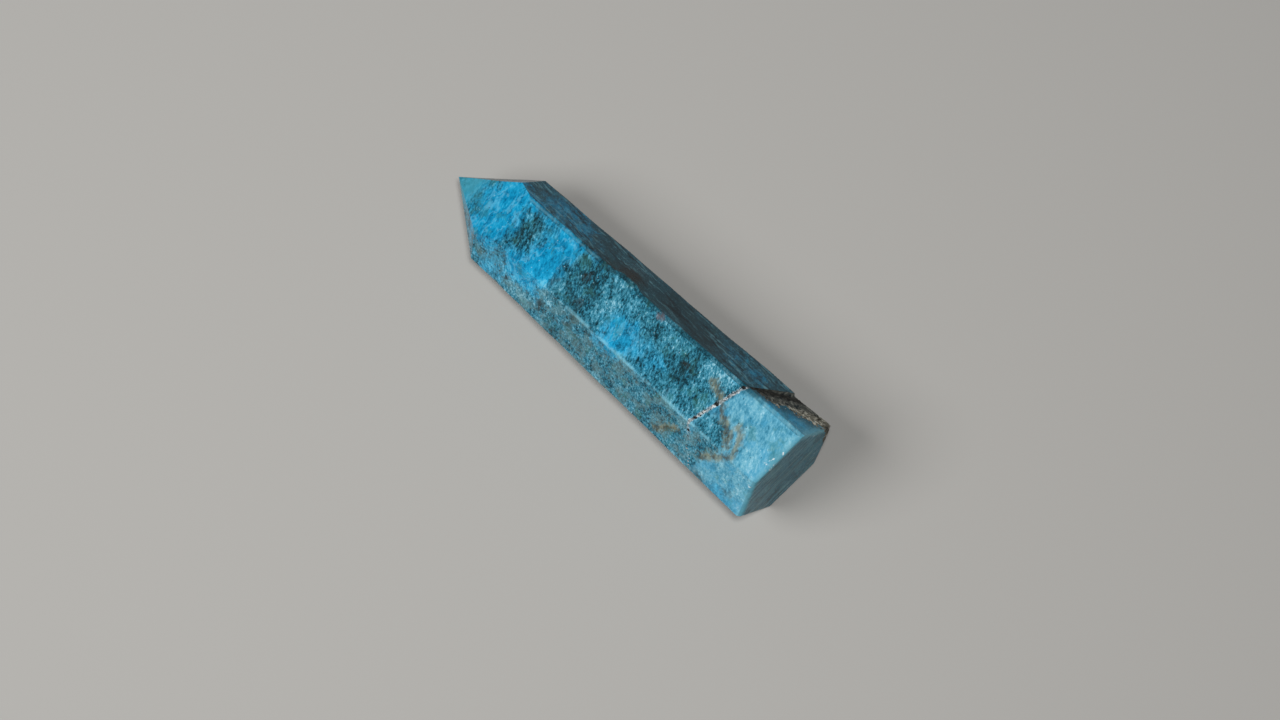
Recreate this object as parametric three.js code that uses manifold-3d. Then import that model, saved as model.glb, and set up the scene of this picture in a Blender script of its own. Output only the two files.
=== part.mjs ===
// A polished blue apatite point: one piece of stone, ground flat by flat into a tapered six-sided
// prism with a faceted tip and a sawn base. It lies on one side face, as a mineral specimen does.
// Millimetres, +Z up, the tip towards -X.
import * as THREE from "three";
import { mergeVertices } from "three/addons/utils/BufferGeometryUtils.js";
import Module from "manifold-3d";

const wasm = await Module();
wasm.setup();

// Section of the prism at the base, seen lying on its lower flat
const HEIGHT = 20.2; // from the lower flat to the upper one
const WAIST_WIDTH = 23.0; // across the two side ridges
const WAIST_HEIGHT = 10.2; // of the side ridges above the lower flat
const WAIST_SHIFT = 0.25; // the hand-ground section isn't quite even, so its middles wander in Y
const UPPER_FLAT = 11.6;
const UPPER_SHIFT = -0.55;
const LOWER_FLAT = 11.7;
const LOWER_SHIFT = 0.55;

// Length, taper and base
const TAPER_DISTANCE = 387; // the side faces would all meet this far from the base
const BASE_LEAN = 0.172; // the sawn base leans towards the tip, in mm for each mm of height
const BASE_SKEW = 0.04; // and turns a little sideways
const APEX = new THREE.Vector3(-79.5, -0.15, 8.0);

// Where the tip facets meet the prism's ridges, measured from the base
const SHOULDER = 67.8;
const TOP_SHOULDER = 65.5; // the upper facet is ground deeper than its neighbours
const SIDE_SHOULDER = 69.9; // so theirs end further along the upper ridges

const ARRIS = 0.1; // depth of stone that the last polish takes off every sharp edge

// A healed fracture crosses the prism near its base
const SEAM_POINT = new THREE.Vector3(-17.6, -0.1, 19.3);
const SEAM_NORMAL = new THREE.Vector3(-0.82, 0.23, -0.52).normalize();
const SEAM_PIT = 0.2; // usual radius of the pits along it
const SEAM_PIT_SPACING = 0.42;
const SEAM_PIT_LIFT = 0.08; // their middles lie this far above the polished face
const SEAM_WANDER = 0.12; // how far they stray from the fracture's line
const OPEN_PIT = 0.36; // radius of the few open pits
const PIT_UNEVENNESS = 0.35;

// Between the fracture and the base, one side ridge keeps its natural broken skin
const BREAK_START = new THREE.Vector3(-16.0, 5.1, 19.3); // on the ridge, where the fracture crosses it
const BREAK_FOOT = new THREE.Vector3(-1.9, 9.3, 13.8); // on the rim of the base
const BREAK_TILT = THREE.MathUtils.degToRad(-5.5); // how far the broken skin dips under the side face
const BREAK_ROUGHNESS = 0.13;
const BREAK_GRAIN = 0.7; // size of the small steps in it
const CORNER_FOOT = new THREE.Vector3(-0.4, 8.65, 4.3); // the base's rim is broken from here to BREAK_FOOT
const CORNER_BREAK = 1.75; // and back to this distance along the ridge

const HEART = new THREE.Vector3(-35, 0, 9); // a point well inside the stone
const WHEEL = 260; // a grinding block, larger than anything that it takes off

const STONE_COLOUR = "#3f8aa6";

const half = (width) => width / 2;
const SECTION = [
  [LOWER_SHIFT - half(LOWER_FLAT), 0],
  [WAIST_SHIFT - half(WAIST_WIDTH), WAIST_HEIGHT],
  [UPPER_SHIFT - half(UPPER_FLAT), HEIGHT],
  [UPPER_SHIFT + half(UPPER_FLAT), HEIGHT],
  [WAIST_SHIFT + half(WAIST_WIDTH), WAIST_HEIGHT],
  [LOWER_SHIFT + half(LOWER_FLAT), 0],
];
const RIDGES = SECTION.length;
const UPPER_FACE = 2; // face i lies between ridge i and the next one
const BROKEN_FACE = 3;
const BROKEN_RIDGE = 4;

const next = (i) => (i + 1) % RIDGES;
const before = (i) => (i + RIDGES - 1) % RIDGES;
const meetingPoint = new THREE.Vector3(-TAPER_DISTANCE, 0, 0);

// The point on a ridge of the prism at a distance from the base.
function onRidge(i, distance) {
  const [y, z] = SECTION[i];
  return new THREE.Vector3(0, y, z).lerp(meetingPoint, distance / TAPER_DISTANCE);
}

// The plane through three points, facing away from the heart of the stone.
function faceThrough(a, b, c) {
  const plane = new THREE.Plane().setFromCoplanarPoints(a, b, c);
  return plane.distanceToPoint(HEART) > 0 ? plane.negate() : plane;
}

// The narrow plane that takes the sharp edge off two faces.
function arrisOf(p, q) {
  const normal = p.normal.clone().add(q.normal);
  const size = normal.length();
  return new THREE.Plane(normal.divideScalar(size), (p.constant + q.constant) / size + ARRIS);
}

// A closed geometry as a solid that can be cut and joined.
function solidOf(geometry) {
  const bare = geometry.clone();
  bare.deleteAttribute("normal");
  bare.deleteAttribute("uv");
  const merged = mergeVertices(bare, 1e-5);
  return new wasm.Manifold(
    new wasm.Mesh({
      numProp: 3,
      vertProperties: new Float32Array(merged.attributes.position.array),
      triVerts: new Uint32Array(merged.index.array),
    }),
  );
}

// A solid's surface as a geometry, flat-shaded.
function geometryOf(solid) {
  const { vertProperties, triVerts } = solid.getMesh();
  const shared = new THREE.BufferGeometry()
    .setAttribute("position", new THREE.BufferAttribute(vertProperties, 3))
    .setIndex(new THREE.BufferAttribute(triVerts, 1));
  const faceted = shared.toNonIndexed();
  faceted.computeVertexNormals();
  return faceted;
}

// Stands a geometry made on the XY plane on another plane, at the point of it nearest to a given one.
function standOn(geometry, plane, near, along) {
  const z = plane.normal;
  const y = new THREE.Vector3().crossVectors(z, along).normalize();
  const x = new THREE.Vector3().crossVectors(y, z);
  const place = new THREE.Matrix4().makeBasis(x, y, z);
  place.setPosition(plane.projectPoint(near, new THREE.Vector3()));
  return geometry.applyMatrix4(place);
}

// The block of everything beyond a plane.
function beyond(plane) {
  const block = new THREE.BoxGeometry(WHEEL, WHEEL, WHEEL).translate(0, 0, half(WHEEL));
  const along = new THREE.Vector3(plane.normal.z, plane.normal.x, plane.normal.y);
  return solidOf(standOn(block, plane, HEART, along));
}

const grind = (stone, plane) => stone.subtract(beyond(plane));

// Faces of the prism, the tip and the base
const sideFaces = SECTION.map((_, i) => faceThrough(onRidge(i, 0), onRidge(next(i), 0), meetingPoint));

const shoulders = SECTION.map(() => [SHOULDER, SHOULDER]);
shoulders[before(UPPER_FACE)] = [SHOULDER, SIDE_SHOULDER];
shoulders[UPPER_FACE] = [TOP_SHOULDER, TOP_SHOULDER];
shoulders[next(UPPER_FACE)] = [SIDE_SHOULDER, SHOULDER];

const tipFaces = shoulders.map(([first, second], i) =>
  faceThrough(APEX, onRidge(i, first), onRidge(next(i), second)),
);

const baseNormal = new THREE.Vector3(1, -BASE_SKEW, BASE_LEAN).normalize();
const baseFace = new THREE.Plane(baseNormal, 0);

const arrises = SECTION.flatMap((_, i) => [
  arrisOf(sideFaces[i], sideFaces[next(i)]),
  arrisOf(tipFaces[i], tipFaces[next(i)]),
  arrisOf(sideFaces[i], tipFaces[i]),
  arrisOf(sideFaces[i], baseFace),
]);
const upperArrises = [before(UPPER_FACE), next(UPPER_FACE)].map((i) =>
  arrisOf(tipFaces[UPPER_FACE], sideFaces[i]),
);

function polishedPoint() {
  const blank = beyond(new THREE.Plane(new THREE.Vector3(0, 0, 1), half(WHEEL)));
  return [...sideFaces, ...tipFaces, baseFace, ...arrises, ...upperArrises].reduce(grind, blank);
}

const seam = new THREE.Plane().setFromNormalAndCoplanarPoint(SEAM_NORMAL, SEAM_POINT);

const seamOnRidge = (i) =>
  seam.intersectLine(new THREE.Line3(onRidge(i, 0), onRidge(i, SHOULDER)), new THREE.Vector3());

// An uneven but repeatable number from -1 to 1.
const uneven = (seed) => Math.sin(7.3 * seed);

// A small rough hollow, stretched and turned unevenly.
function pit(centre, radius, seed) {
  const stretch = 1 + PIT_UNEVENNESS * uneven(seed);
  const lump = new THREE.IcosahedronGeometry(radius, 0).scale(stretch, 1, 1 / stretch);
  return solidOf(lump.rotateX(seed).rotateZ(2 * seed).translate(centre.x, centre.y, centre.z));
}

// Pits along the fracture on the faces where it shows as a line, from ridge to ridge.
function seamPits() {
  const pits = [];
  for (let face = 0; face <= UPPER_FACE; face++) {
    const from = seamOnRidge(face);
    const to = seamOnRidge(next(face));
    const count = Math.round(from.distanceTo(to) / SEAM_PIT_SPACING);
    for (let k = 0; k <= count; k++) {
      const seed = k + 0.5 * face;
      const centre = from.clone().lerp(to, k / count);
      centre.addScaledVector(SEAM_NORMAL, SEAM_WANDER * uneven(seed + 0.1));
      centre.addScaledVector(sideFaces[face].normal, SEAM_PIT_LIFT);
      pits.push(pit(centre, SEAM_PIT * (1 + PIT_UNEVENNESS * uneven(seed + 0.2)), seed));
    }
  }
  return pits;
}

// The few open pits: the face of each, and its share of the way across from the face's first ridge.
const openPitPlaces = [
  [UPPER_FACE, 0.12],
  [UPPER_FACE, 0.49],
  [UPPER_FACE, 0.97],
  [before(UPPER_FACE), 0.83],
];
const openPits = () =>
  openPitPlaces.map(([face, share]) =>
    pit(seamOnRidge(face).lerp(seamOnRidge(next(face)), share), OPEN_PIT, share),
  );

// Uneven steps of a broken surface, in shares of its roughness.
function brokenHeight(x, y) {
  const coarse = Math.sin(1.9 * x + 0.7 * y) + Math.sin(1.5 * y - 0.8 * x + 1.1);
  const fine = Math.sin(4.3 * x - 2.9 * y + 0.4) + Math.sin(3.7 * y + 3.1 * x + 2.0);
  return 0.45 * coarse + 0.3 * fine;
}

// The block of everything beyond a rough broken plane.
function roughBeyond(plane, near, along, reach) {
  const steps = Math.round(reach / BREAK_GRAIN);
  const block = new THREE.BoxGeometry(reach, reach, reach, steps, steps, 1).translate(0, 0, half(reach));
  const points = block.attributes.position;
  for (let k = 0; k < points.count; k++) {
    if (points.getZ(k) > half(reach)) continue;
    points.setZ(k, BREAK_ROUGHNESS * brokenHeight(points.getX(k), points.getY(k)));
  }
  return solidOf(standOn(block, plane, near, along));
}

// The strip that broke away beside the fracture, on the base's side of it.
function brokenStrip() {
  const along = BREAK_FOOT.clone().sub(BREAK_START);
  const reach = 1.8 * along.length();
  const normal = sideFaces[BROKEN_FACE].normal.clone().applyAxisAngle(along.normalize(), BREAK_TILT);
  const skin = new THREE.Plane().setFromNormalAndCoplanarPoint(normal, BREAK_START);
  const near = BREAK_START.clone().lerp(BREAK_FOOT, 0.6);
  return roughBeyond(skin, near, along, reach).subtract(beyond(seam));
}

// The corner that broke off the base at the end of that strip.
function brokenCorner() {
  const edge = onRidge(BROKEN_RIDGE, CORNER_BREAK);
  const along = CORNER_FOOT.clone().sub(BREAK_FOOT);
  return roughBeyond(faceThrough(BREAK_FOOT, CORNER_FOOT, edge), edge, along, 2 * along.length());
}

function apatitePoint() {
  const hollows = [...seamPits(), ...openPits(), brokenStrip(), brokenCorner()];
  const stone = hollows.reduce((left, hollow) => left.subtract(hollow), polishedPoint());
  const apatite = new THREE.MeshStandardMaterial({ color: STONE_COLOUR, roughness: 0.28, metalness: 0 });
  const mesh = new THREE.Mesh(geometryOf(stone), apatite);
  mesh.name = "apatite_point";
  return mesh;
}

// The origin is under the middle of the stone, on the surface that it lies on.
const point = apatitePoint();
const box = new THREE.Box3().setFromObject(point);
const middle = box.getCenter(new THREE.Vector3());
point.position.set(-middle.x, -middle.y, -box.min.z);

const part = new THREE.Group();
part.add(point);

export default part;
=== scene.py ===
"""A polished blue apatite point lying on one side face: its looks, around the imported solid."""
import math
import random
from types import SimpleNamespace

import bpy
from mathutils import Matrix, Vector


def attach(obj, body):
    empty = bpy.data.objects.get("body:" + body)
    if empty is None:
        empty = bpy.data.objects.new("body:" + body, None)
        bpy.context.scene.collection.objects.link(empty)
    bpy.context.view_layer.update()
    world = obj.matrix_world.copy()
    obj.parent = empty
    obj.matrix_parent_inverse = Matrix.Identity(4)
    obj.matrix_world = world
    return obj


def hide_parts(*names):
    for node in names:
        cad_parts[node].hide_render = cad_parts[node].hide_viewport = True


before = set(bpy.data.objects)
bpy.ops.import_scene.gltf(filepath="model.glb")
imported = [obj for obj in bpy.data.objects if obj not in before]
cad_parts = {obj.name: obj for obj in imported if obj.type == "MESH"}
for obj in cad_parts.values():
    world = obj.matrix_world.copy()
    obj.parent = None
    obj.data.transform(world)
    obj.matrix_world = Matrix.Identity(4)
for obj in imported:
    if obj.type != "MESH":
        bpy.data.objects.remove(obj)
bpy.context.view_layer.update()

MM = 0.001

# Section of the prism at the base, in millimetres, lying on its lower flat
HEIGHT = 20.2
WAIST_WIDTH = 23.0
WAIST_HEIGHT = 10.2
WAIST_SHIFT = 0.25
UPPER_FLAT = 11.6
UPPER_SHIFT = -0.55
LOWER_FLAT = 11.7
LOWER_SHIFT = 0.55

# Length, taper, base and tip
FOOT = Vector((39.555, -0.213, 0.0))  # foot of the sawn base in the frame: the stone is measured from it
TAPER_DISTANCE = 387.0
BASE_NORMAL = Vector((1.0, -0.04, 0.172)).normalized()
APEX = FOOT + Vector((-79.5, -0.15, 8.0))
SHOULDER = 67.8
TOP_SHOULDER = 65.5
SIDE_SHOULDER = 69.9
HEART = Vector((0.0, 0.0, 9.0))  # a point well inside the stone

# Finish of the ground faces
BLANK = 140.0  # side of the block that the faces are cut from
SLICE = 1.5  # the faces are divided this often along the length, so that they can waver
WAVER = 0.32
WAVER_LENGTH = 8.0
RIDGE_ROUNDING = 0.4
RIDGE_STEPS = 3
SOFT_RIDGE = 0.28  # depth of the worn ridge between the upper and the back face
RIM_ROUNDING = 1.0  # the rim of the base is worn rounder than the ridges
RIM_STEPS = 4
PROUD_FROM = 41.4  # along this stretch the ridge beside the back face stands a little proud
PROUD_TO = 45.4
PROUD = 0.5
RIDGE_REACH = 1.2  # vertices this near the ridge move with it
TOUCHING = 0.001  # a vertex nearer than this to a face is on it
WELD = 1e-5  # corners of a cut nearer than this are one
SMOOTH_ANGLE = math.radians(22)

# The healed fracture across the prism
SEAM_POINT = FOOT + Vector((-17.6, -0.1, 19.3))
SEAM_NORMAL = Vector((-0.82, 0.23, -0.52)).normalized()
SEAM_PIT = 0.13  # radius of its small pits, before each is drawn larger or smaller
SEAM_PIT_SIZES = (0.6, 1.5)
SEAM_PIT_RISE = (-0.02, 0.08)  # how far the middle of a pit may be from the face
SEAM_GRAIN = 0.07  # the pits are shaped this finely
OPEN_PIT = 0.3
PIT_STRETCH = (0.7, 1.4)  # pits are drawn longer or shorter on each axis

# The natural broken skin between the fracture and the base
BREAK_START = FOOT + Vector((-16.0, 5.1, 19.3))
BREAK_FOOT = FOOT + Vector((-1.9, 9.3, 13.8))
BREAK_TILT = math.radians(-5.5)
LEDGE_NORMAL = Vector((-0.877, 0.24, -0.417)).normalized()  # the fracture turns a little on the back
CORNER_FOOT = FOOT + Vector((-0.4, 8.65, 4.3))
CORNER_BREAK = 1.75
CORNER_BLOCK = 12.0  # side of the block that takes the corner off
STRIP_BLOCK = 1.7  # side of the block that takes the strip off, in lengths of the strip
STRIP_MIDDLE = 0.6  # where that block has its middle, as a share of the strip
BREAK_STEPS = 1.6  # size of the broken skin's coarse steps
BREAK_STEP_HEIGHT = 0.38
BREAK_GRAINS = 0.45
BREAK_GRAIN_HEIGHT = 0.22
BREAK_CELL = 0.17  # its surface is divided this finely
BREAK_DEPTH = 5.0  # thickness of the block that is taken off

SECTION = [
    (LOWER_SHIFT - LOWER_FLAT / 2, 0.0),
    (WAIST_SHIFT - WAIST_WIDTH / 2, WAIST_HEIGHT),
    (UPPER_SHIFT - UPPER_FLAT / 2, HEIGHT),
    (UPPER_SHIFT + UPPER_FLAT / 2, HEIGHT),
    (WAIST_SHIFT + WAIST_WIDTH / 2, WAIST_HEIGHT),
    (LOWER_SHIFT + LOWER_FLAT / 2, 0.0),
]
RIDGES = len(SECTION)
FRONT_LOWER, FRONT, UPPER, BACK, BACK_LOWER, RESTING = range(RIDGES)  # face i is between ridges i and i + 1
MEETING = Vector((-TAPER_DISTANCE, 0.0, 0.0))  # where the ridges would meet, from the foot of the base

# Where the fracture shows as a line: the face, the spacing of its pits and how far they stray
SEAM_LINES = [(FRONT_LOWER, 0.9, 0.4), (FRONT, 0.9, 0.4), (UPPER, 0.24, 0.14)]
# The few open pits: the face of each, its share of the way across, and its size
OPEN_PITS = [(UPPER, 0.12, 1.0), (UPPER, 0.49, 1.1), (UPPER, 0.97, 1.0), (FRONT, 0.83, 0.9)]
# The faces beside the worn part of the rim of the base
WORN_SIDES = (FRONT, UPPER, BACK_LOWER, RESTING)

draws = random.Random(12)


def on_ridge(i, distance):
    """The point on a ridge of the prism at a distance from the base."""
    y, z = SECTION[i % RIDGES]
    return FOOT + Vector((0.0, y, z)).lerp(MEETING, distance / TAPER_DISTANCE)


def face_through(a, b, c):
    """A point of the plane through three points, and the plane's normal away from the heart."""
    normal = (b - a).cross(c - a).normalized()
    if normal.dot(HEART - a) > 0:
        normal.negate()
    return a, normal


def tip_face(i):
    """The face of the tip above a side face, from the shoulder on each of its ridges."""
    first = second = SHOULDER
    if i == UPPER:
        first = second = TOP_SHOULDER
    elif i == FRONT:
        second = SIDE_SHOULDER
    elif i == BACK:
        first = SIDE_SHOULDER
    return face_through(APEX, on_ridge(i, first), on_ridge(i + 1, second))


side_faces = [face_through(on_ridge(i, 0), on_ridge(i + 1, 0), FOOT + MEETING) for i in range(RIDGES)]
tip_faces = [tip_face(i) for i in range(RIDGES)]
base_face = (FOOT, BASE_NORMAL)
soft_ridge_normal = (side_faces[UPPER][1] + side_faces[BACK][1]).normalized()
soft_ridge = (on_ridge(BACK, 0) - soft_ridge_normal * SOFT_RIDGE, soft_ridge_normal)


def crossing(i, point, normal):
    """Where a plane crosses a ridge."""
    start, end = on_ridge(i, 0), on_ridge(i, SHOULDER)
    return start.lerp(end, (point - start).dot(normal) / (end - start).dot(normal))


def seam_on_ridge(i):
    """Where the fracture crosses a ridge."""
    return crossing(i, SEAM_POINT, SEAM_NORMAL)


# Modelling


def start_piece(name, primitive, **settings):
    """Adds a primitive with nothing else selected, and names it."""
    bpy.ops.object.select_all(action="DESELECT")
    primitive(**settings)
    piece = bpy.context.active_object
    piece.name = name
    return piece


def finish_with(piece, kind, **settings):
    """Adds a modifier to a piece and applies it."""
    modifier = piece.modifiers.new(kind.lower(), kind)
    for name, value in settings.items():
        setattr(modifier, name, value)
    bpy.context.view_layer.objects.active = piece
    bpy.ops.object.modifier_apply(modifier=modifier.name)


def grain(name, size):
    """A cloudy height pattern whose lumps are of that size."""
    texture = bpy.data.textures.new(name, "CLOUDS")
    texture.noise_scale = size
    texture.noise_depth = 2
    return texture


def waver(piece, name, size, height):
    """Raises and lowers a surface in lumps of that size and height."""
    finish_with(piece, "DISPLACE", texture=grain(name, size), texture_coords="LOCAL", strength=height)


def grind(faces):
    """Cuts everything beyond each face off the piece in edit mode."""
    for point, normal in faces:
        bpy.ops.mesh.select_all(action="SELECT")
        bpy.ops.mesh.bisect(plane_co=point, plane_no=normal, use_fill=True, clear_outer=True, threshold=WELD)


def slice_along():
    """Divides the long faces, so that the polish can waver along them."""
    position = APEX.x + SLICE
    while position < FOOT.x:
        bpy.ops.mesh.select_all(action="SELECT")
        bpy.ops.mesh.bisect(plane_co=(position, 0, 0), plane_no=(1, 0, 0), threshold=WELD)
        position += SLICE


def select_where(piece, wanted):
    """Selects the vertices whose place is wanted, in edit mode."""
    bpy.ops.mesh.select_all(action="DESELECT")
    bpy.ops.object.mode_set(mode="OBJECT")
    for vertex in piece.data.vertices:
        vertex.select = wanted(vertex.co)
    bpy.ops.object.mode_set(mode="EDIT")


def touches(place, face):
    """Whether a place is on the plane of a face."""
    point, normal = face
    return abs((place - point).dot(normal)) < TOUCHING


def on_worn_rim(place):
    """Whether a place is on the worn part of the rim of the base."""
    beside = any(touches(place, side_faces[i]) for i in WORN_SIDES)
    return beside and touches(place, base_face)


def on_proud_ridge(place):
    """Whether a place is on the stretch of the back ridge that stands proud."""
    along = FOOT.x - place.x
    return PROUD_FROM < along < PROUD_TO and (place - on_ridge(BACK, along)).length < RIDGE_REACH


def take_off(piece, tool):
    """Cuts a tool's shape out of a piece, whose new faces keep the tool's material."""
    finish_with(
        piece, "BOOLEAN", object=tool, operation="DIFFERENCE", solver="EXACT", material_mode="TRANSFER"
    )
    bpy.data.objects.remove(tool)


def rough_block(name, face, middle, along, size, material, limits=()):
    """The block of everything just beyond a broken plane, with a rough underside."""
    point, normal = face
    cells = int(size / BREAK_CELL)
    block = start_piece(
        name, bpy.ops.mesh.primitive_grid_add, x_subdivisions=cells, y_subdivisions=cells, size=size
    )
    across = normal.cross(along).normalized()
    along = across.cross(normal)
    place = Matrix((along, across, normal)).transposed().to_4x4()
    place.translation = middle - normal * normal.dot(middle - point)
    block.matrix_world = place
    bpy.ops.object.transform_apply()
    bpy.ops.object.mode_set(mode="EDIT")
    for limit_point, limit_normal in limits:
        bpy.ops.mesh.select_all(action="SELECT")
        bpy.ops.mesh.bisect(plane_co=limit_point, plane_no=limit_normal, clear_outer=True, threshold=WELD)
    bpy.ops.object.mode_set(mode="OBJECT")
    waver(block, name + "_steps", BREAK_STEPS, BREAK_STEP_HEIGHT)
    waver(block, name + "_grains", BREAK_GRAINS, BREAK_GRAIN_HEIGHT)
    bpy.ops.object.mode_set(mode="EDIT")
    bpy.ops.mesh.select_all(action="SELECT")
    bpy.ops.mesh.extrude_region_move(TRANSFORM_OT_translate={"value": normal * BREAK_DEPTH})
    bpy.ops.mesh.select_all(action="SELECT")
    bpy.ops.mesh.normals_make_consistent(inside=False)
    bpy.ops.object.mode_set(mode="OBJECT")
    block.data.materials.append(material)
    return block


def broken_strip(material):
    """The strip that broke away beside the fracture, on the base's side of it."""
    along = (BREAK_FOOT - BREAK_START).normalized()
    normal = side_faces[BACK][1].copy()
    normal.rotate(Matrix.Rotation(BREAK_TILT, 3, along))
    size = STRIP_BLOCK * (BREAK_FOOT - BREAK_START).length
    middle = BREAK_START.lerp(BREAK_FOOT, STRIP_MIDDLE)
    ledge = (SEAM_POINT, LEDGE_NORMAL)
    return rough_block("broken_strip", (BREAK_START, normal), middle, along, size, material, [ledge])


def broken_corner(material):
    """The corner that broke off the base at the end of that strip."""
    edge = on_ridge(BACK_LOWER, CORNER_BREAK)
    along = (CORNER_FOOT - BREAK_FOOT).normalized()
    face = face_through(BREAK_FOOT, CORNER_FOOT, edge)
    return rough_block("broken_corner", face, edge, along, CORNER_BLOCK, material)


def pits(name, places, material):
    """Small hollows joined into one tool: a place and a radius for each."""
    made = []
    for place, radius in places:
        lump = start_piece(
            name, bpy.ops.mesh.primitive_ico_sphere_add, subdivisions=2, radius=radius, location=place
        )
        lump.scale = [draws.uniform(*PIT_STRETCH) for _ in range(3)]
        lump.rotation_euler = [draws.uniform(0, math.pi) for _ in range(3)]
        made.append(lump)
    for lump in made:
        lump.select_set(True)
    bpy.ops.object.join()
    tool = bpy.context.active_object
    bpy.ops.object.transform_apply()
    finish_with(tool, "REMESH", mode="VOXEL", voxel_size=SEAM_GRAIN)
    tool.data.materials.append(material)
    return tool


def seam_places(stone):
    """Pits along the fracture on the faces where it shows as a line."""
    places = []
    for face, spacing, stray in SEAM_LINES:
        start, end = seam_on_ridge(face), seam_on_ridge(face + 1)
        count = round((end - start).length / spacing)
        for k in range(count):
            place = start.lerp(end, (k + draws.random()) / count)
            place += SEAM_NORMAL * draws.uniform(-stray, stray)
            place = stone.closest_point_on_mesh(place)[1]
            place += side_faces[face][1] * draws.uniform(*SEAM_PIT_RISE)
            places.append((place, SEAM_PIT * draws.uniform(*SEAM_PIT_SIZES)))
    return places


def open_pit_places(stone):
    """The places and radii of the open pits in the fracture."""
    places = []
    for face, share, size in OPEN_PITS:
        place = seam_on_ridge(face).lerp(seam_on_ridge(face + 1), share)
        places.append((stone.closest_point_on_mesh(place)[1], OPEN_PIT * size))
    return places


def polished_stone(apatite, skin, filling, pit_colour):
    """The stone, ground from a block, with what broke off taken away."""
    stone = start_piece("polished_stone", bpy.ops.mesh.primitive_cube_add, size=BLANK)
    stone.data.materials.append(apatite)
    bpy.ops.object.mode_set(mode="EDIT")
    grind([*side_faces, *tip_faces, base_face, soft_ridge])
    select_where(stone, on_worn_rim)
    bpy.ops.mesh.bevel(offset=RIM_ROUNDING, segments=RIM_STEPS)
    slice_along()
    select_where(stone, on_proud_ridge)
    bpy.ops.transform.translate(value=(0, PROUD, 0))
    bpy.ops.object.mode_set(mode="OBJECT")
    waver(stone, "hand_polish", WAVER_LENGTH, WAVER)
    rounding = {"width": RIDGE_ROUNDING, "segments": RIDGE_STEPS}
    finish_with(stone, "BEVEL", limit_method="ANGLE", angle_limit=SMOOTH_ANGLE, **rounding)
    take_off(stone, broken_strip(skin))
    take_off(stone, broken_corner(skin))
    take_off(stone, pits("seam_pits", seam_places(stone), filling))
    take_off(stone, pits("open_pits", open_pit_places(stone), pit_colour))
    bpy.ops.object.select_all(action="DESELECT")
    stone.select_set(True)
    bpy.context.view_layer.objects.active = stone
    stone.scale = (MM, MM, MM)
    bpy.ops.object.transform_apply()
    bpy.ops.object.shade_smooth_by_angle(angle=SMOOTH_ANGLE)
    finish_with(stone, "WEIGHTED_NORMAL", keep_sharp=True)
    return stone


# Materials

ZONE_EDGE = 1.5  # a zone fades out at this many of its radii
ZONE_CORE = 0.3  # and is full within this many
SPECK_CORE = 0.4  # the share of a speck's radius that is full
SPECK_EDGE = 0.02  # the change of chance over which specks fade in
FAR = 100.0  # farther than any line is from any place on the stone
TIP_LENGTH = 16.5  # of the upper tip face
POLISH_RELIEF = 0.03  # height of the grain that the polish leaves
SHEEN = 0.05  # a tenth of the usual 0.5, so that the floor does not show in the faces


def linear(colour):
    """An sRGB hex colour as linear red, green, blue and alpha."""
    parts = [int(colour[k : k + 2], 16) / 255 for k in (1, 3, 5)]
    return (*(p / 12.92 if p <= 0.04045 else ((p + 0.055) / 1.055) ** 2.4 for p in parts), 1.0)


def add(tree, kind, links, output=0, **settings):
    """Adds a node with its settings, links or sets its inputs, and gives one of its outputs."""
    made = tree.nodes.new("ShaderNode" + kind)
    for name, value in settings.items():
        setattr(made, name, value)
    for socket, value in links.items():
        if isinstance(value, bpy.types.NodeSocket):
            tree.links.new(value, made.inputs[socket])
        else:
            made.inputs[socket].default_value = value
    return made.outputs[output]


def new_material(name):
    """A new material, its node tree and its Principled shader."""
    material = bpy.data.materials.new(name)
    material.use_nodes = True
    return material, material.node_tree, material.node_tree.nodes["Principled BSDF"]


def place_in_mm(tree):
    """Position on the object, in millimetres."""
    position = add(tree, "TexCoord", {}, "Object")
    return add(tree, "VectorMath", {0: position, "Scale": 1 / MM}, operation="SCALE")


def where(tree, *conditions, most=1.0):
    """The share where all conditions hold: shares, or a value with where it begins and where it is full."""
    share = most
    for condition in conditions:
        if isinstance(condition, tuple):
            value, begins, full = condition
            ends = {"Value": value, "From Min": begins, "From Max": full}
            condition = add(tree, "MapRange", ends, interpolation_type="SMOOTHSTEP")
        share = add(tree, "Math", {0: share, 1: condition}, operation="MULTIPLY")
    return share


def warped(tree, place, pattern, size, reach):
    """The place pushed about by up to half the reach, in lumps of that size of a pattern."""
    lumps = add(tree, "TexNoise", {"Vector": pattern, "Scale": 1 / size, "Detail": 3.0}, "Color")
    push = add(tree, "VectorMath", {0: lumps, 1: (0.5, 0.5, 0.5)}, operation="SUBTRACT")
    return add(tree, "VectorMath", {0: push, 1: (reach, reach, reach), 2: place}, operation="MULTIPLY_ADD")


def patches(tree, place, size, begins, full, stretch=(1.0, 1.0, 1.0)):
    """Irregular patches of about that size, drawn out along each axis whose stretch is small."""
    drawn_out = add(tree, "VectorMath", {0: place, 1: stretch}, operation="MULTIPLY")
    look = {"Vector": drawn_out, "Scale": 1 / size, "Detail": 3.0, "Roughness": 0.6}
    return where(tree, (add(tree, "TexNoise", look), begins, full))


def specks(tree, place, spacing, radius, rarity):
    """Small spots, one in some cells of that spacing."""
    cell = add(tree, "TexVoronoi", {"Vector": place, "Scale": 1 / spacing}, "Color")
    gap = add(tree, "TexVoronoi", {"Vector": place, "Scale": 1 / spacing}, "Distance")
    chance = add(tree, "SeparateColor", {0: cell}, "Red")
    reach = radius / spacing
    return where(tree, (chance, rarity, rarity + SPECK_EDGE), (gap, reach, SPECK_CORE * reach))


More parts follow.
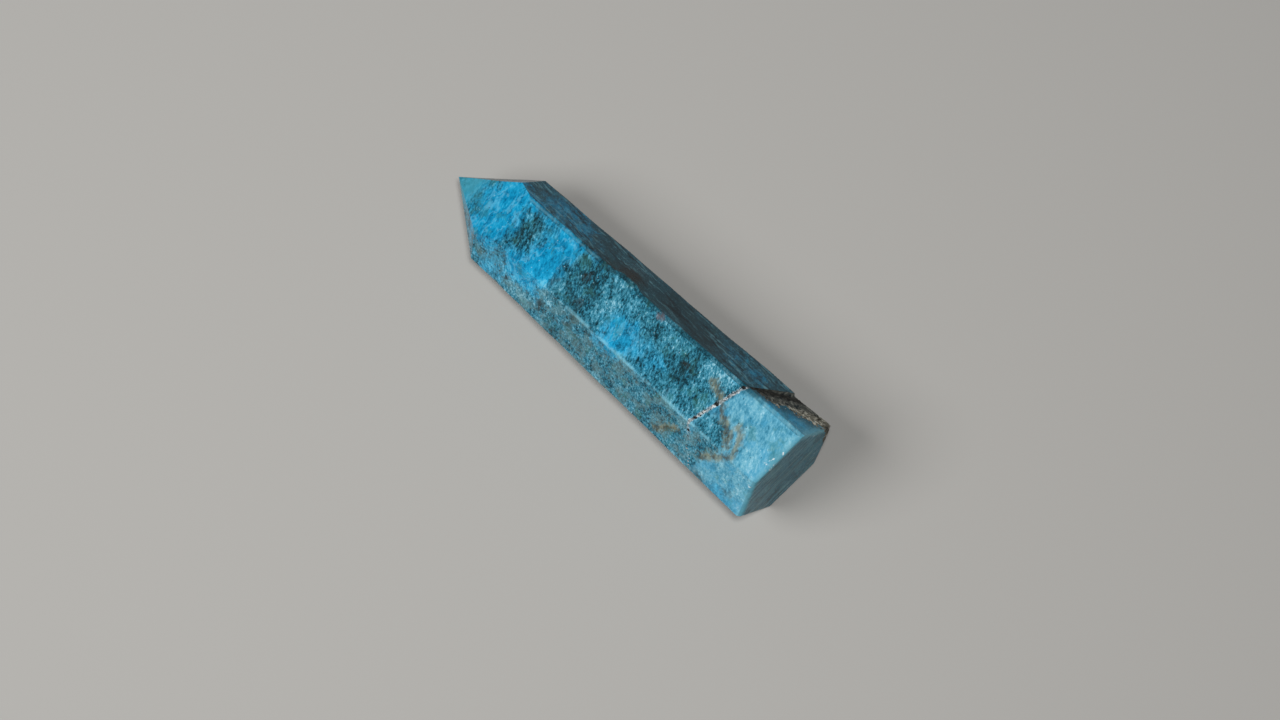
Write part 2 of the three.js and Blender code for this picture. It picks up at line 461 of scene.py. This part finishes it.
def zones(tree, place, listed):
    """The strongest of some soft-edged lumps: a centre, three radii and a strength for each."""
    share = 0.0
    for centre, radii, strength in listed:
        offset = add(tree, "VectorMath", {0: place, 1: centre}, operation="SUBTRACT")
        offset = add(tree, "VectorMath", {0: offset, 1: radii}, operation="DIVIDE")
        reach = add(tree, "VectorMath", {0: offset}, "Value", operation="LENGTH")
        lump = where(tree, (reach, ZONE_EDGE, ZONE_CORE), most=strength)
        share = add(tree, "Math", {0: share, 1: lump}, operation="MAXIMUM")
    return share


def distance_to_lines(tree, place, lines):
    """Distance to the nearest of some lines, each drawn through its points."""
    nearest = FAR
    for line in lines:
        for start, end in zip(line, line[1:]):
            way = end - start
            offset = add(tree, "VectorMath", {0: place, 1: start}, operation="SUBTRACT")
            towards = {0: offset, 1: way / way.length_squared}
            share = add(tree, "VectorMath", towards, "Value", operation="DOT_PRODUCT")
            share = add(tree, "Math", {0: share, 1: 1.0}, operation="MULTIPLY", use_clamp=True)
            foot = add(tree, "VectorMath", {0: way, "Scale": share}, operation="SCALE")
            gap = add(tree, "VectorMath", {0: offset, 1: foot}, "Value", operation="DISTANCE")
            nearest = add(tree, "Math", {0: nearest, 1: gap}, operation="MINIMUM")
    return nearest


def distance_past_seam(tree, place):
    """Distance from the plane of the fracture, towards the tip."""
    offset = add(tree, "VectorMath", {0: place, 1: SEAM_POINT}, operation="SUBTRACT")
    return add(tree, "VectorMath", {0: offset, 1: SEAM_NORMAL}, "Value", operation="DOT_PRODUCT")


def layered(tree, ground, layers):
    """Lays colours over a ground colour, each by its share."""
    for share, colour in layers:
        ground = add(tree, "MixRGB", {0: share, 1: ground, 2: linear(colour)})
    return ground


def graded(tree, value, stops):
    """Colours that follow a value: its stops from low to high."""
    made = add(tree, "ValToRGB", {0: value})
    elements = made.node.color_ramp.elements
    while len(elements) < len(stops):
        elements.new(0.5)
    for element, (position, colour) in zip(elements, stops):
        element.position = position
        element.color = linear(colour)
    return made


def swayed(tree, value, *sways):
    """A value moved by some patterns: a pattern, its middle and its amount for each."""
    for pattern, middle, amount in sways:
        shift = add(tree, "Math", {0: pattern, 1: amount, 2: -amount * middle}, operation="MULTIPLY_ADD")
        value = add(tree, "Math", {0: value, 1: shift}, operation="ADD")
    return value


def upper_at(along, across):
    """A place on the upper face, by the distance from the base and from the face's middle line."""
    middle = on_ridge(UPPER, along).lerp(on_ridge(UPPER + 1, along), 0.5)
    return middle + Vector((0.0, across, 0.0))


def front_at(along, upward):
    """A place on the front face, by the distance from the base and up from the face's middle line."""
    low, high = on_ridge(FRONT, along), on_ridge(FRONT + 1, along)
    return low.lerp(high, 0.5) + (high - low).normalized() * upward


def back_at(along, downward):
    """A place on the back face, by the distance from the base and down from the face's middle line."""
    high, low = on_ridge(BACK, along), on_ridge(BACK + 1, along)
    return high.lerp(low, 0.5) + (low - high).normalized() * downward


def tip_at(along, across):
    """A place on the upper tip face, by the distance from its shoulder and from its middle line."""
    return upper_at(TOP_SHOULDER, across).lerp(APEX, along / TIP_LENGTH)


# Saturated cyan lumps of clear apatite
VIVID_ZONES = [
    (upper_at(38.0, -2.8), (4.0, 4.2, 3.0), 0.7),
    (upper_at(31.5, -2.0), (4.5, 3.0, 2.4), 0.4),
    (upper_at(56.3, -0.5), (4.2, 8.0, 5.0), 1.0),
    (upper_at(64.0, 5.0), (4.5, 2.5, 3.0), 0.8),
    (upper_at(67.0, -1.0), (2.2, 6.0, 3.0), 0.9),
    (tip_at(4.0, -0.5), (6.0, 7.0, 5.0), 1.3),
    (tip_at(12.5, 0.0), (4.0, 4.0, 4.5), 0.75),
    (front_at(38.5, 5.4), (4.4, 3.0, 3.0), 0.5),
    (front_at(58.5, 4.2), (5.2, 4.0, 4.8), 1.0),
    (front_at(68.0, 3.5), (2.4, 2.6, 2.6), 0.4),
    (front_at(64.0, -1.5), (4.6, 4.0, 4.0), 0.5),
    (front_at(7.5, -5.0), (3.2, 2.0, 2.4), 0.55),
    (back_at(9.0, -2.5), (6.0, 3.0, 3.0), 0.8),
    (back_at(55.0, -6.0), (8.0, 2.0, 2.0), 1.0),
    (back_at(59.0, 0.5), (8.0, 5.0, 6.0), 0.8),
    (back_at(19.0, 0.5), (6.0, 4.0, 5.0), 0.6),
]
# Dark teal and grey-green lumps
DARK_ZONES = [
    (upper_at(15.0, -4.0), (3.0, 3.0, 3.0), 0.45),
    (upper_at(13.5, 1.0), (1.8, 2.0, 3.0), 0.25),
    (upper_at(25.8, 1.2), (2.6, 3.4, 3.0), 0.8),
    (upper_at(34.8, 1.5), (2.4, 2.2, 2.2), 0.45),
    (upper_at(31.0, 2.5), (4.5, 3.5, 3.0), 0.2),
    (upper_at(48.8, -0.8), (5.2, 7.5, 4.0), 0.8),
    (upper_at(62.4, -0.6), (3.0, 4.8, 3.0), 0.7),
    (tip_at(11.2, 0.0), (1.6, 3.0, 2.8), 0.35),
    (front_at(27.0, -1.0), (7.0, 5.0, 5.0), 0.3),
    (front_at(65.0, -1.5), (2.8, 3.5, 3.5), 0.2),
    (front_at(47.0, -2.0), (6.0, 4.0, 5.0), 0.4),
    (back_at(28.0, -2.0), (5.0, 4.0, 5.0), 0.7),
    (back_at(34.5, 0.5), (6.0, 5.0, 6.0), 0.6),
    (back_at(44.0, -2.5), (3.4, 3.0, 3.0), 1.0),
    (back_at(52.0, 2.0), (4.0, 3.0, 4.0), 0.4),
]
# Mottled stone inside the loop of the veins, which the pale end leaves out
LOOP_ZONES = [
    (upper_at(15.2, -5.5), (3.6, 5.0, 6.0), 1.0),
    (front_at(16.5, -1.0), (3.2, 4.0, 6.0), 1.0),
]
# Brown stains
BROWN_ZONES = [
    (upper_at(26.3, 1.7), (0.8, 0.8, 1.2), 0.65),
    (upper_at(47.5, -3.0), (0.9, 0.6, 1.2), 0.6),
    (upper_at(49.0, 1.5), (0.8, 1.0, 1.2), 0.7),
    (upper_at(52.6, -3.2), (0.6, 1.2, 1.2), 0.7),
    (upper_at(25.0, -4.2), (0.6, 0.9, 1.2), 0.4),
    (front_at(7.0, -2.5), (1.1, 0.8, 0.9), 0.6),
    (front_at(49.0, -3.0), (1.1, 0.8, 1.0), 0.6),
    (front_at(46.0, 1.0), (1.2, 1.0, 1.2), 0.5),
    (front_at(52.7, -0.3), (1.0, 1.0, 1.6), 0.8),
    (front_at(60.5, -1.5), (0.8, 1.0, 1.2), 0.8),
    (front_at(38.5, -3.0), (0.8, 1.0, 1.2), 0.4),
    (front_at(12.5, -4.8), (2.2, 0.8, 0.9), 0.6),
    (upper_at(46.4, 5.8), (2.0, 0.8, 1.2), 0.7),
    (back_at(43.5, -2.5), (1.6, 1.5, 1.8), 0.6),
]
# Pale granular clouds
CLOUD_ZONES = [
    (upper_at(38.0, 2.4), (2.8, 1.8, 2.0), 0.3),
    (upper_at(20.6, 3.9), (2.4, 2.2, 2.0), 1.0),
    (upper_at(51.5, -5.2), (2.2, 1.9, 2.2), 0.9),
    (upper_at(42.0, 0.0), (2.0, 5.5, 2.0), 0.25),
    (upper_at(43.2, 5.2), (2.2, 1.2, 1.2), 0.9),
    (upper_at(11.4, -2.3), (1.0, 1.8, 2.0), 0.9),
    (upper_at(5.5, -4.0), (2.5, 2.5, 2.0), 0.4),
    (upper_at(4.8, 4.2), (1.6, 1.8, 2.0), 0.6),
    (front_at(17.0, -1.0), (1.2, 1.4, 2.4), 0.5),
    (tip_at(14.5, 0.0), (2.0, 2.5, 2.5), 0.5),
    (front_at(45.5, 0.5), (1.5, 1.5, 2.0), 0.5),
    (front_at(52.0, 4.5), (3.4, 2.6, 3.0), 1.0),
    (front_at(58.0, -2.5), (4.0, 3.0, 3.0), 0.9),
    (front_at(64.0, -1.0), (4.0, 3.0, 3.0), 0.5),
]
# Greener stone at the very tip
TEAL_ZONES = [(tip_at(13.5, 0.0), (3.4, 4.0, 4.0), 0.75), (tip_at(10.5, -2.0), (2.0, 2.0, 3.0), 0.4)]
# A reddish grey spot at the upper edge
PINK_ZONES = [(upper_at(34.9, 5.0), (0.65, 0.8, 0.9), 0.75)]
# Where the rim of the base is chipped
CHIPPED_ZONES = [(upper_at(4.1, -1.7), (0.9, 1.1, 1.5), 1.0)]
# The middle lines of the olive-brown veins
VEINS = [
    [upper_at(*p) for p in ((10.2, -6.0), (9.8, -4.6), (10.4, -3.0), (11.2, -1.5), (12.0, -0.6))],
    [
        upper_at(*p)
        for p in ((11.3, -4.2), (12.6, -2.6), (14.2, -1.7), (15.6, -0.8), (18.0, 1.4), (20.6, 2.5))
    ],
    [front_at(*p) for p in ((14.0, 0.0), (12.4, 2.2), (11.0, 4.0), (9.8, 6.0))],
    [front_at(*p) for p in ((23.4, -3.2), (22.2, -1.2), (20.6, 1.0))],
]
# The stretches of the ridges painted pale: partly worn by handling, partly a painted highlight along the
# rounded edge
WORN_AND_HIGHLIT_RIDGES = [
    [on_ridge(UPPER, 12.0), on_ridge(UPPER, 48.0)],
    [on_ridge(BACK, 50.0), on_ridge(BACK, 66.0)],
    [on_ridge(BACK, 4.0), on_ridge(BACK, 13.0)],
]
# The edge of the broken strip, beside which the apatite is painted darker: painted shade where the facet
# meets the break
BREAK_SHADE_LINE = [[BREAK_START, BREAK_FOOT]]
# The rim of the base: chipped, and painted pale along it, partly rubbed by wear and partly a painted
# highlight on the rounded rim
BASE_RIM = [[crossing(i, *base_face) for i in (FRONT, UPPER, BACK, BACK_LOWER)]]
SEAM_ENDS = (-8.5, -6.0)  # across the frame, the fracture's pale line fades out low on the front
DARKER_END = (36.0, 38.5)  # along the frame, the broken skin is darker towards the base

# Colours of the three kinds of stone, from dark to pale
MOTTLED = ((0.0, "#0b2129"), (0.25, "#194352"), (0.5, "#2c758c"), (0.74, "#4e95ab"), (1.0, "#9bc8d4"))
CLEAR = ((0.0, "#0a5678"), (0.3, "#0c77a2"), (0.55, "#128fbc"), (0.8, "#27a2cd"), (1.0, "#62bcda"))
PALE = ((0.0, "#2f7188"), (0.3, "#4893b0"), (0.55, "#66abc3"), (0.8, "#84bdcc"), (1.0, "#b9dbe4"))
GRAIN_TURN = math.radians(-23)  # the grains lie askew across the point
STREAK_TURN = math.radians(12)  # and the streaks of the back face a little askew along it


def stone_patterns(tree):
    """The places, grains and sides that the stone's colours are worked out from."""
    place = place_in_mm(tree)
    turned = add(tree, "VectorRotate", {"Vector": place, "Angle": GRAIN_TURN}, rotation_type="Z_AXIS")
    long_grains = add(tree, "VectorMath", {0: turned, 1: (1.0, 0.35, 0.5)}, operation="MULTIPLY")
    short_grains = add(tree, "VectorMath", {0: turned, 1: (1.0, 0.45, 0.6)}, operation="MULTIPLY")
    lumpy = warped(tree, warped(tree, place, place, 4.0, 4.0), long_grains, 0.8, 3.0)
    askew = add(tree, "VectorRotate", {"Vector": place, "Angle": STREAK_TURN}, rotation_type="Y_AXIS")
    normal = add(tree, "TexCoord", {}, "Normal")
    sideways = add(tree, "SeparateXYZ", {0: normal}, "Y")
    lengthways = add(tree, "SeparateXYZ", {0: normal}, "X")
    past_seam = distance_past_seam(tree, place)
    return SimpleNamespace(
        place=place,
        lumpy=lumpy,
        askew=askew,
        wavering=warped(tree, warped(tree, place, place, 2.0, 1.4), place, 0.6, 1.0),
        cloudy=add(tree, "TexNoise", {"Vector": lumpy, "Scale": 0.35, "Detail": 2.0}),
        coarse=add(tree, "TexNoise", {"Vector": long_grains, "Scale": 1.0, "Detail": 2.0, "Roughness": 0.6}),
        fine=add(tree, "TexNoise", {"Vector": short_grains, "Scale": 3.2, "Detail": 3.0, "Roughness": 0.75}),
        dark=zones(tree, lumpy, DARK_ZONES),
        past_seam=past_seam,
        on_front=where(tree, (sideways, -0.35, -0.7)),
        on_back=where(tree, (sideways, 0.35, 0.7), (past_seam, -1.6, 0.2)),
        on_base=where(tree, (lengthways, 0.5, 0.8)),
    )


def stone_ground(tree, seen):
    """Mottled teal, the pale end beyond the fracture, clear cyan lumps and the back face, darker: partly its
    own slate colour, partly painted shade.
    """
    broad = swayed(
        tree,
        0.51,
        (seen.cloudy, 0.5, 0.8),
        (seen.coarse, 0.5, 0.6),
        (seen.dark, 0.0, -0.2),
        # The back face is made darker: partly its own slate colour, partly painted shade
        (seen.on_back, 0.0, -0.1),
        (zones(tree, seen.lumpy, CLOUD_ZONES), 0.0, 0.22),
    )
    grainy = swayed(tree, broad, (seen.fine, 0.5, 2.2))
    smooth = swayed(tree, broad, (seen.coarse, 0.5, 0.6), (seen.fine, 0.5, 1.4))
    clearness = swayed(
        tree,
        zones(tree, seen.lumpy, VIVID_ZONES),
        (seen.cloudy, 0.5, 1.3),
        (seen.coarse, 0.5, 0.7),
        (seen.fine, 0.5, 0.8),
        (seen.dark, 0.0, -0.45),
    )
    clear = where(tree, (clearness, 0.0, 0.95))
    in_loop = zones(tree, seen.lumpy, LOOP_ZONES)
    pale = where(tree, (seen.past_seam, 0.4, -0.8), (in_loop, 0.8, 0.2), most=0.9)
    both_ends = {0: pale, 1: graded(tree, grainy, MOTTLED), 2: graded(tree, smooth, PALE)}
    mottled = add(tree, "MixRGB", both_ends)
    ground = add(tree, "MixRGB", {0: clear, 1: mottled, 2: graded(tree, smooth, CLEAR)})

    drawn_out = add(tree, "VectorMath", {0: seen.lumpy, 1: (1.0, 0.3, 0.4)}, operation="MULTIPLY")
    folds = add(tree, "TexNoise", {"Vector": drawn_out, "Scale": 0.5, "Detail": 2.0})
    folds = add(tree, "Math", {0: folds, 1: 0.5}, operation="SUBTRACT")
    from_wisp = add(tree, "Math", {0: folds}, operation="ABSOLUTE")
    grey = patches(tree, seen.wavering, 2.4, 0.42, 0.6)
    pale_grains = patches(tree, seen.place, 0.5, 0.55, 0.68)
    dark_grains = patches(tree, seen.place, 0.6, 0.45, 0.32)
    return layered(
        tree,
        ground,
        [
            (where(tree, seen.on_front, grey, (pale, 0.9, 0.2), (clear, 0.7, 0.0), most=0.42), "#6c8988"),
            (where(tree, pale, patches(tree, seen.lumpy, 3.0, 0.5, 0.62), most=0.4), "#3e9bc4"),
            (where(tree, patches(tree, seen.lumpy, 3.6, 0.55, 0.68), most=0.35), "#3d7468"),
            (where(tree, (from_wisp, 0.05, 0.0), clear, most=0.35), "#74c2dc"),
            (where(tree, seen.on_front, pale_grains, most=0.2), "#a3c3cb"),
            (where(tree, seen.on_front, dark_grains, most=0.25), "#16343e"),
            (where(tree, seen.dark, (seen.coarse, 0.62, 0.4), most=0.4), "#2b4646"),
            # Slate and dark lumps on the back face: partly its own colour, partly painted shade
            (where(tree, seen.on_back, (clear, 1.3, 0.2), most=0.7), "#2b5866"),
            (where(tree, seen.on_back, seen.dark, most=0.8), "#182b31"),
        ],
    )


def polished_apatite():
    """Blue apatite, ground flat and polished: teal grains, grey clouds, clear cyan lumps, brown veins."""
    material, tree, shader = new_material("apatite_ground_and_polished")
    seen = stone_patterns(tree)
    place = seen.place
    swirling = warped(tree, seen.askew, place, 3.0, 1.2)
    streaks = patches(tree, swirling, 0.9, 0.48, 0.64, (0.14, 1.0, 1.0))
    glints = patches(tree, swirling, 0.7, 0.52, 0.68, (0.16, 1.0, 1.0))
    streaked = patches(tree, seen.lumpy, 3.0, 0.34, 0.54)
    glinting = patches(tree, seen.lumpy, 2.4, 0.36, 0.54)
    # In life the saw marks are about a tenth as coarse, too fine to show at this size
    pale_scratches = patches(tree, place, 0.6, 0.48, 0.66, (1.0, 0.06, 1.0))
    dark_scratches = patches(tree, place, 0.55, 0.5, 0.36, (1.0, 0.06, 1.0))
    vein = swayed(tree, distance_to_lines(tree, seen.wavering, VEINS), (seen.fine, 0.5, 1.0))
    past_seam = distance_past_seam(tree, warped(tree, place, place, 0.7, 0.5))
    from_seam = add(tree, "Math", {0: past_seam}, operation="ABSOLUTE")
    backward = add(tree, "SeparateXYZ", {0: place}, "Y")
    seam = where(tree, (from_seam, 0.38, 0.16), (backward, *SEAM_ENDS), (seen.on_back, 0.8, 0.0))
    rim = where(tree, (distance_to_lines(tree, seen.wavering, BASE_RIM), 1.5, 0.2))
    chipped = zones(tree, place, CHIPPED_ZONES)
    from_worn_highlit_ridge = distance_to_lines(tree, place, WORN_AND_HIGHLIT_RIDGES)
    from_break_shade = distance_to_lines(tree, seen.wavering, BREAK_SHADE_LINE)
    pale_specks = specks(tree, place, 0.8, 0.14, 0.75)
    # Squeezed a little, so that these do not sit where the pale specks do
    squeezed = add(tree, "VectorMath", {0: place, 1: (1.3, 1.0, 1.1)}, operation="MULTIPLY")
    dark_specks = specks(tree, squeezed, 1.0, 0.18, 0.6)
    squeezed = add(tree, "VectorMath", {0: place, 1: (1.2, 1.1, 1.3)}, operation="MULTIPLY")
    black_grains = specks(tree, squeezed, 0.5, 0.3, 0.55)
    colour = layered(
        tree,
        stone_ground(tree, seen),
        [
            (zones(tree, seen.lumpy, BROWN_ZONES), "#2b261e"),
            (zones(tree, seen.lumpy, PINK_ZONES), "#6c6064"),
            (zones(tree, seen.lumpy, TEAL_ZONES), "#418e9e"),
            (where(tree, seen.on_back, streaks, streaked, most=0.8), "#08202a"),
            (where(tree, seen.on_back, glints, glinting, (seen.dark, 1.0, 0.0), most=0.75), "#71afbf"),
            (where(tree, seen.on_base, most=0.7), "#12687c"),
            (where(tree, seen.on_base, patches(tree, seen.lumpy, 2.4, 0.5, 0.36), most=0.5), "#0c3a44"),
            (where(tree, seen.on_base, patches(tree, seen.lumpy, 1.8, 0.5, 0.66), most=0.4), "#5c9a9c"),
            (where(tree, seen.on_base, pale_scratches, most=0.5), "#86b8c0"),
            (where(tree, seen.on_base, dark_scratches, most=0.5), "#08242c"),
            (where(tree, (vein, 1.5, 0.2), (seen.coarse, 0.35, 0.6), most=0.75), "#7f7f66"),
            (where(tree, (vein, 0.9, 0.0), (seen.coarse, 0.62, 0.42), most=0.75), "#4c442e"),
            (where(tree, pale_specks, (seen.on_back, 1.0, 0.0), most=0.4), "#bfdfe8"),
            (where(tree, dark_specks, most=0.7), "#0c1c22"),
            # Painted shade on the apatite beside the broken strip
            (where(tree, (from_break_shade, 2.2, 0.3), most=0.65), "#0f3c48"),
            # Pale along the ridges: partly wear, partly painted highlight
            (where(tree, (from_worn_highlit_ridge, 0.55, 0.1), patches(tree, place, 2.2, 0.34, 0.56), most=0.42), "#8fcfe0"),
            # Pale along the rim of the base, stronger on the sawn face: partly wear, partly painted
            # highlight
            (where(tree, rim, most=0.5), "#74b8cc"),
            (where(tree, rim, seen.on_base, most=0.6), "#6cc3d9"),
            (where(tree, rim, specks(tree, seen.wavering, 0.6, 0.26, 0.86)), "#e6f1f3"),
            (where(tree, chipped, specks(tree, seen.wavering, 0.45, 0.19, 0.45), most=0.75), "#e6f1f3"),
            (where(tree, seam, (seen.fine, 0.42, 0.54), most=0.75), "#a9b0b1"),
            (where(tree, seam, specks(tree, place, 0.45, 0.28, 0.5), most=0.9), "#dfe2e1"),
            (where(tree, seam, black_grains, most=0.95), "#14191c"),
        ],
    )
    tree.links.new(colour, shader.inputs["Base Color"])
    shader.inputs["IOR"].default_value = 1.63
    shader.inputs["Specular IOR Level"].default_value = SHEEN
    tree.links.new(where(tree, (seen.fine, 0.1, 0.9), most=0.4), shader.inputs["Roughness"])
    bump = add(tree, "Bump", {"Height": seen.fine, "Strength": 0.1, "Distance": POLISH_RELIEF * MM})
    tree.links.new(bump, shader.inputs["Normal"])
    return material


def broken_skin():
    """Weathered natural skin on the broken side: dull grey-beige crumbs with dark brown hollows."""
    material, tree, shader = new_material("weathered_broken_skin")
    place = place_in_mm(tree)
    beside_seam = add(tree, "Math", {0: distance_past_seam(tree, place)}, operation="ABSOLUTE")
    towards_base = add(tree, "SeparateXYZ", {0: place}, "X")
    colour = layered(
        tree,
        linear("#7b7a6d"),
        [
            (where(tree, patches(tree, place, 2.2, 0.45, 0.65), most=0.8), "#8f8d80"),
            (where(tree, patches(tree, place, 0.7, 0.5, 0.6), most=0.9), "#dcdacb"),
            (where(tree, patches(tree, place, 0.8, 0.48, 0.38), most=0.95), "#221d18"),
            (specks(tree, place, 0.9, 0.25, 0.45), "#15110e"),
            # Darker blue-grey towards the fracture, then near black at the foot of its ledge: painted shade
            (where(tree, (beside_seam, 4.2, 2.2), most=0.65), "#22343b"),
            (where(tree, (beside_seam, 1.4, 0.2), most=0.8), "#14110f"),
            (where(tree, (towards_base, *DARKER_END), most=0.6), "#2b2723"),
        ],
    )
    tree.links.new(colour, shader.inputs["Base Color"])
    shader.inputs["Roughness"].default_value = 0.85
    shader.inputs["Specular IOR Level"].default_value = 0.25
    return material


def seam_filling():
    """Pale granular filling left in the healed fracture: grey and white crumbs between dark pores."""
    material, tree, shader = new_material("granular_seam_filling")
    place = place_in_mm(tree)
    colour = layered(
        tree,
        linear("#8d9496"),
        [
            (where(tree, patches(tree, place, 0.45, 0.5, 0.58), most=0.9), "#d2d3d1"),
            (where(tree, patches(tree, place, 0.5, 0.48, 0.4), most=0.95), "#2a3236"),
        ],
    )
    tree.links.new(colour, shader.inputs["Base Color"])
    shader.inputs["Roughness"].default_value = 0.8
    return material


def plain(name, colour, roughness):
    """A material of one colour."""
    material, _, shader = new_material(name)
    shader.inputs["Base Color"].default_value = linear(colour)
    shader.inputs["Roughness"].default_value = roughness
    return material


stone = polished_stone(
    polished_apatite(),
    broken_skin(),
    seam_filling(),
    # Near black inside the open pits
    plain("near_black_open_pits", "#1d1c1b", 0.9),
)
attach(stone, "root")
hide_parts("apatite_point")

# Floor, light and camera

FLOOR_SIZE = 6.0
FLOOR_GAP = 0.00005

floor = start_piece("floor", bpy.ops.mesh.primitive_plane_add, size=FLOOR_SIZE, location=(0, 0, -FLOOR_GAP))
floor.data.materials.append(plain("matt_paper_sweep", "#a7a5a1", 0.9))

LENS = 84.375  # in millimetres, as is the width of the sensor
SENSOR = 36.0
VIEW_AZIMUTH = math.radians(43.04)
VIEW_ELEVATION = math.radians(79.51)
VIEW_DISTANCE = 0.5298
VIEW_CENTRE = Vector((4.695, -1.483, 0.0)) * MM

SOFT_DIRECTION = Vector((-0.6, -0.75, 1.0)).normalized()
SOFT_DISTANCE = 0.9
SOFT_SIZE = 0.5
SOFT_POWER = 5.7
HIGH_DIRECTION = Vector((0.12, -0.065, 0.983)).normalized()
HIGH_DISTANCE = 0.6
HIGH_SIZE = 0.09
HIGH_POWER = 2.0
WORLD_STRENGTH = 0.05


def away_from(azimuth, elevation):
    """Unit vector from the object towards a viewer at that azimuth and elevation."""
    flat = math.cos(elevation)
    return Vector((math.sin(azimuth) * flat, -math.cos(azimuth) * flat, math.sin(elevation)))


def look_back(obj, direction):
    """Turns a camera or light to look along the opposite of a direction, with its top upwards."""
    obj.rotation_euler = direction.to_track_quat("Z", "Y").to_euler()


def light(name, direction, distance, size, power):
    """A round lamp that faces the stone."""
    lamp_data = bpy.data.lights.new(name, "AREA")
    lamp_data.shape = "DISK"
    lamp_data.size = size
    lamp_data.energy = power
    lamp = bpy.data.objects.new(name, lamp_data)
    bpy.context.scene.collection.objects.link(lamp)
    lamp.location = direction * distance
    look_back(lamp, direction)


camera_data = bpy.data.cameras.new("camera")
camera_data.lens = LENS
camera_data.sensor_width = SENSOR
camera_data.sensor_fit = "HORIZONTAL"
camera = bpy.data.objects.new("camera", camera_data)
bpy.context.scene.collection.objects.link(camera)
view_back = away_from(VIEW_AZIMUTH, VIEW_ELEVATION)
camera.location = VIEW_CENTRE + view_back * VIEW_DISTANCE
look_back(camera, view_back)
bpy.context.scene.camera = camera

light("soft_light", SOFT_DIRECTION, SOFT_DISTANCE, SOFT_SIZE, SOFT_POWER)
light("high_light", HIGH_DIRECTION, HIGH_DISTANCE, HIGH_SIZE, HIGH_POWER)

world = bpy.data.worlds.new("studio")
world.use_nodes = True
world.node_tree.nodes["Background"].inputs["Color"].default_value = linear("#f2f5fa")
world.node_tree.nodes["Background"].inputs["Strength"].default_value = WORLD_STRENGTH
bpy.context.scene.world = world
bpy.context.scene.view_settings.view_transform = "Standard"
